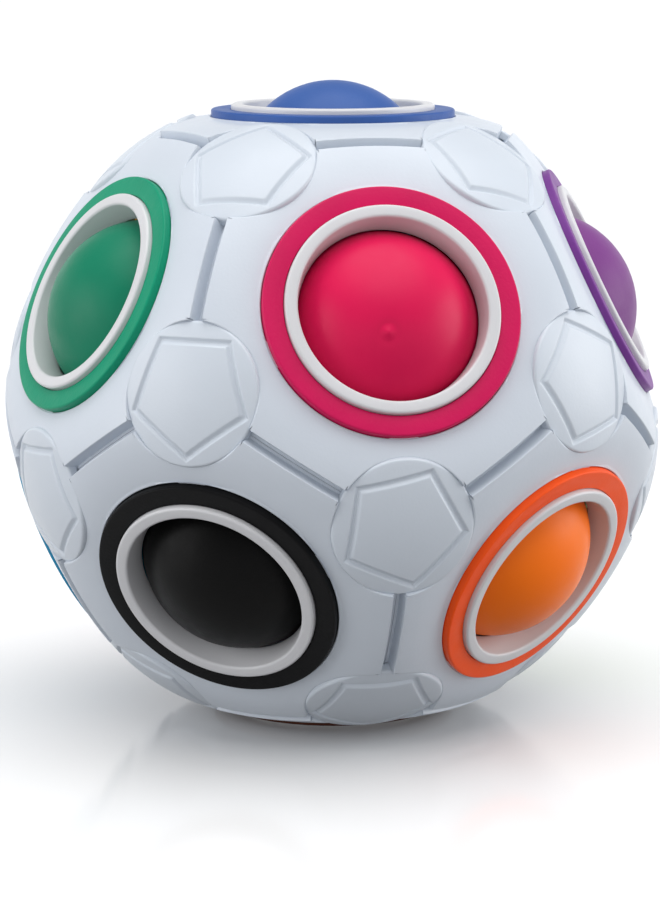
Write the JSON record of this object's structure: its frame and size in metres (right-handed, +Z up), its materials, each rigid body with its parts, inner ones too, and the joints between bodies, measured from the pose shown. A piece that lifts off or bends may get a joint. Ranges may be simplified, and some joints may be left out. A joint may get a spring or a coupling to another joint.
{
  "type": "sliding-ball puzzle ball",
  "caption": "Football-patterned hollow ball puzzle with round windows; coloured balls sit in the windows and are pushed through the inside from window to window.",
  "frame": {"origin": "centre of the bottom window's rim face, on which the ball stands", "axes": "+Z up through the top window; -Y towards the magenta window's side; +X to its right"},
  "size_m": [0.07, 0.0698, 0.0672],
  "materials": {
    "shell_white": "satin moulded ABS, bluish white",
    "core_rubber": "matt off-white soft rubber",
    "plastic_blue": "satin moulded ABS, blue",
    "plastic_magenta": "satin moulded ABS, magenta",
    "plastic_purple": "satin moulded ABS, purple",
    "plastic_red": "satin moulded ABS, red",
    "plastic_yellow": "satin moulded ABS, yellow",
    "plastic_green": "satin moulded ABS, green",
    "plastic_orange": "satin moulded ABS, orange",
    "plastic_lime": "satin moulded ABS, lime",
    "plastic_pink": "satin moulded ABS, pink",
    "plastic_sky": "satin moulded ABS, sky",
    "plastic_black": "satin moulded ABS, black",
    "plastic_brown": "satin moulded ABS, brown"
  },
  "bodies": {
    "shell": {"panel_blue": "shell_white", "panel_magenta": "shell_white", "panel_purple": "shell_white", "panel_red": "shell_white", "panel_yellow": "shell_white", "panel_green": "shell_white", "panel_orange": "shell_white", "panel_lime": "shell_white", "panel_pink": "shell_white", "panel_sky": "shell_white", "panel_black": "shell_white", "panel_brown": "shell_white", "ring_blue": "plastic_blue", "ring_magenta": "plastic_magenta", "ring_purple": "plastic_purple", "ring_red": "plastic_red", "ring_yellow": "plastic_yellow", "ring_green": "plastic_green", "ring_orange": "plastic_orange", "ring_lime": "plastic_lime", "ring_pink": "plastic_pink", "ring_sky": "plastic_sky", "ring_black": "plastic_black", "ring_brown": "plastic_brown", "rim_blue": "shell_white", "rim_magenta": "shell_white", "rim_purple": "shell_white", "rim_red": "shell_white", "rim_yellow": "shell_white", "rim_green": "shell_white", "rim_orange": "shell_white", "rim_lime": "shell_white", "rim_pink": "shell_white", "rim_sky": "shell_white", "rim_black": "shell_white", "rim_brown": "shell_white", "caps_crown": "shell_white", "caps_upper": "shell_white", "caps_lower": "shell_white", "caps_foot": "shell_white", "soft_core": "core_rubber"},
    "ball_blue": {"ball_blue": "plastic_blue"},
    "ball_magenta": {"ball_magenta": "plastic_magenta"},
    "ball_purple": {"ball_purple": "plastic_purple"},
    "ball_red": {"ball_red": "plastic_red"},
    "ball_yellow": {"ball_yellow": "plastic_yellow"},
    "ball_green": {"ball_green": "plastic_green"},
    "ball_orange": {"ball_orange": "plastic_orange"},
    "ball_lime": {"ball_lime": "plastic_lime"},
    "ball_pink": {"ball_pink": "plastic_pink"},
    "ball_sky": {"ball_sky": "plastic_sky"},
    "ball_black": {"ball_black": "plastic_black"}
  },
  "joints": [
    {"name": "press_blue", "type": "slide", "parent": "shell", "child": "ball_blue", "axis": [0, 0, -1], "range_m": [0, 0.004], "stiffness_N_per_m": 600, "springref_m": -0.001, "deforming": ["soft_core"]},
    {"name": "press_magenta", "type": "slide", "parent": "shell", "child": "ball_magenta", "axis": [0, 0.8944, -0.4472], "range_m": [0, 0.004], "stiffness_N_per_m": 600, "springref_m": -0.001, "deforming": ["soft_core"]},
    {"name": "press_purple", "type": "slide", "parent": "shell", "child": "ball_purple", "axis": [-0.8507, 0.2764, -0.4472], "range_m": [0, 0.004], "stiffness_N_per_m": 600, "springref_m": -0.001, "deforming": ["soft_core"]},
    {"name": "press_red", "type": "slide", "parent": "shell", "child": "ball_red", "axis": [-0.5257, -0.7236, -0.4472], "range_m": [0, 0.004], "stiffness_N_per_m": 600, "springref_m": -0.001, "deforming": ["soft_core"]},
    {"name": "press_yellow", "type": "slide", "parent": "shell", "child": "ball_yellow", "axis": [0.5257, -0.7236, -0.4472], "range_m": [0, 0.004], "stiffness_N_per_m": 600, "springref_m": -0.001, "deforming": ["soft_core"]},
    {"name": "press_green", "type": "slide", "parent": "shell", "child": "ball_green", "axis": [0.8507, 0.2764, -0.4472], "range_m": [0, 0.004], "stiffness_N_per_m": 600, "springref_m": -0.001, "deforming": ["soft_core"]},
    {"name": "press_lime", "type": "slide", "parent": "shell", "child": "ball_lime", "axis": [-0.8507, -0.2764, 0.4472], "range_m": [0, 0.004], "stiffness_N_per_m": 600, "springref_m": -0.001, "deforming": ["soft_core"]},
    {"name": "press_pink", "type": "slide", "parent": "shell", "child": "ball_pink", "axis": [0, -0.8944, 0.4472], "range_m": [0, 0.004], "stiffness_N_per_m": 600, "springref_m": -0.001, "deforming": ["soft_core"]},
    {"name": "press_sky", "type": "slide", "parent": "shell", "child": "ball_sky", "axis": [0.8507, -0.2764, 0.4472], "range_m": [0, 0.004], "stiffness_N_per_m": 600, "springref_m": -0.001, "deforming": ["soft_core"]},
    {"name": "press_black", "type": "slide", "parent": "shell", "child": "ball_black", "axis": [0.5257, 0.7236, 0.4472], "range_m": [0, 0.004], "stiffness_N_per_m": 600, "springref_m": -0.001, "deforming": ["soft_core"]},
    {"name": "roll_orange", "type": "hinge", "parent": "shell", "child": "ball_orange", "pos_m": [0.01304, -0.01795, -0.0035], "axis": [-0.809, -0.5878, 0], "range_deg": [0, 62.59], "deforming": ["soft_core"]}
  ]
}
